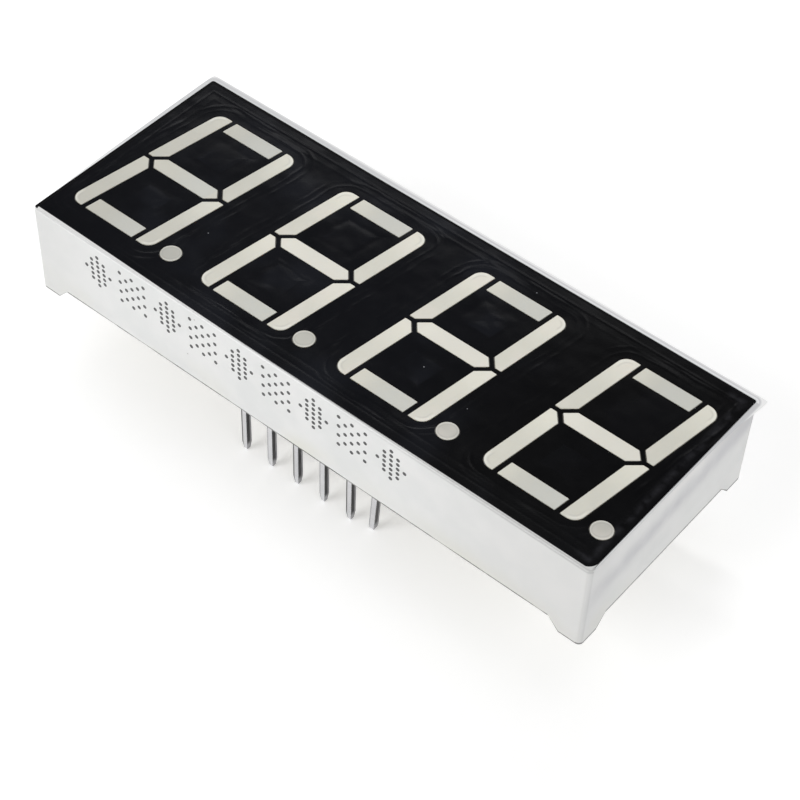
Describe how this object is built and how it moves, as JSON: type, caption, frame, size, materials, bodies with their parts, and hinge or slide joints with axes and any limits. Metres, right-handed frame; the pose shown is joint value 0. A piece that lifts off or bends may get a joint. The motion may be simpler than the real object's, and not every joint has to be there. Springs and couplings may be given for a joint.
{
  "type": "seven-segment display module",
  "caption": "Slim white-cased seven-segment LED display with a black face, slanted digits, decimal points and two rows of square pins for through-hole mounting.",
  "frame": {"origin": "centre of the seating plane, on which the corner feet stand; the pins reach below it", "axes": "+X along the row of digits from the first to the last, +Y up the digits, +Z out of the face"},
  "size_m": [0.0506, 0.0192, 0.0142],
  "materials": {
    "case_white": "satin moulded plastic",
    "face_black": "glossy black ink",
    "window_resin": "cream diffusing resin, satin",
    "board": "glass-epoxy laminate",
    "copper": "gold-flashed copper foil",
    "solder": "bright solder",
    "tinned_pin": "tinned",
    "led_chip": "polished semiconductor",
    "gold_wire": "drawn gold"
  },
  "bodies": {
    "root": {"reflector_case": "case_white", "face_mask": "face_black", "epoxy_fill": "window_resin", "circuit_board": "board", "front_tracks": "copper", "back_tracks": "copper", "solder_joints": "solder", "pin_1": "tinned_pin", "pin_2": "tinned_pin", "pin_3": "tinned_pin", "pin_4": "tinned_pin", "pin_5": "tinned_pin", "pin_6": "tinned_pin", "pin_7": "tinned_pin", "pin_8": "tinned_pin", "pin_9": "tinned_pin", "pin_10": "tinned_pin", "pin_11": "tinned_pin", "pin_12": "tinned_pin", "led_1a": "led_chip", "led_1b": "led_chip", "led_1c": "led_chip", "led_1d": "led_chip", "led_1e": "led_chip", "led_1f": "led_chip", "led_1g": "led_chip", "led_1dp": "led_chip", "led_2a": "led_chip", "led_2b": "led_chip", "led_2c": "led_chip", "led_2d": "led_chip", "led_2e": "led_chip", "led_2f": "led_chip", "led_2g": "led_chip", "led_2dp": "led_chip", "led_3a": "led_chip", "led_3b": "led_chip", "led_3c": "led_chip", "led_3d": "led_chip", "led_3e": "led_chip", "led_3f": "led_chip", "led_3g": "led_chip", "led_3dp": "led_chip", "led_4a": "led_chip", "led_4b": "led_chip", "led_4c": "led_chip", "led_4d": "led_chip", "led_4e": "led_chip", "led_4f": "led_chip", "led_4g": "led_chip", "led_4dp": "led_chip", "bond_wires_1": "gold_wire", "bond_wires_2": "gold_wire", "bond_wires_3": "gold_wire", "bond_wires_4": "gold_wire"}
  },
  "joints": []
}
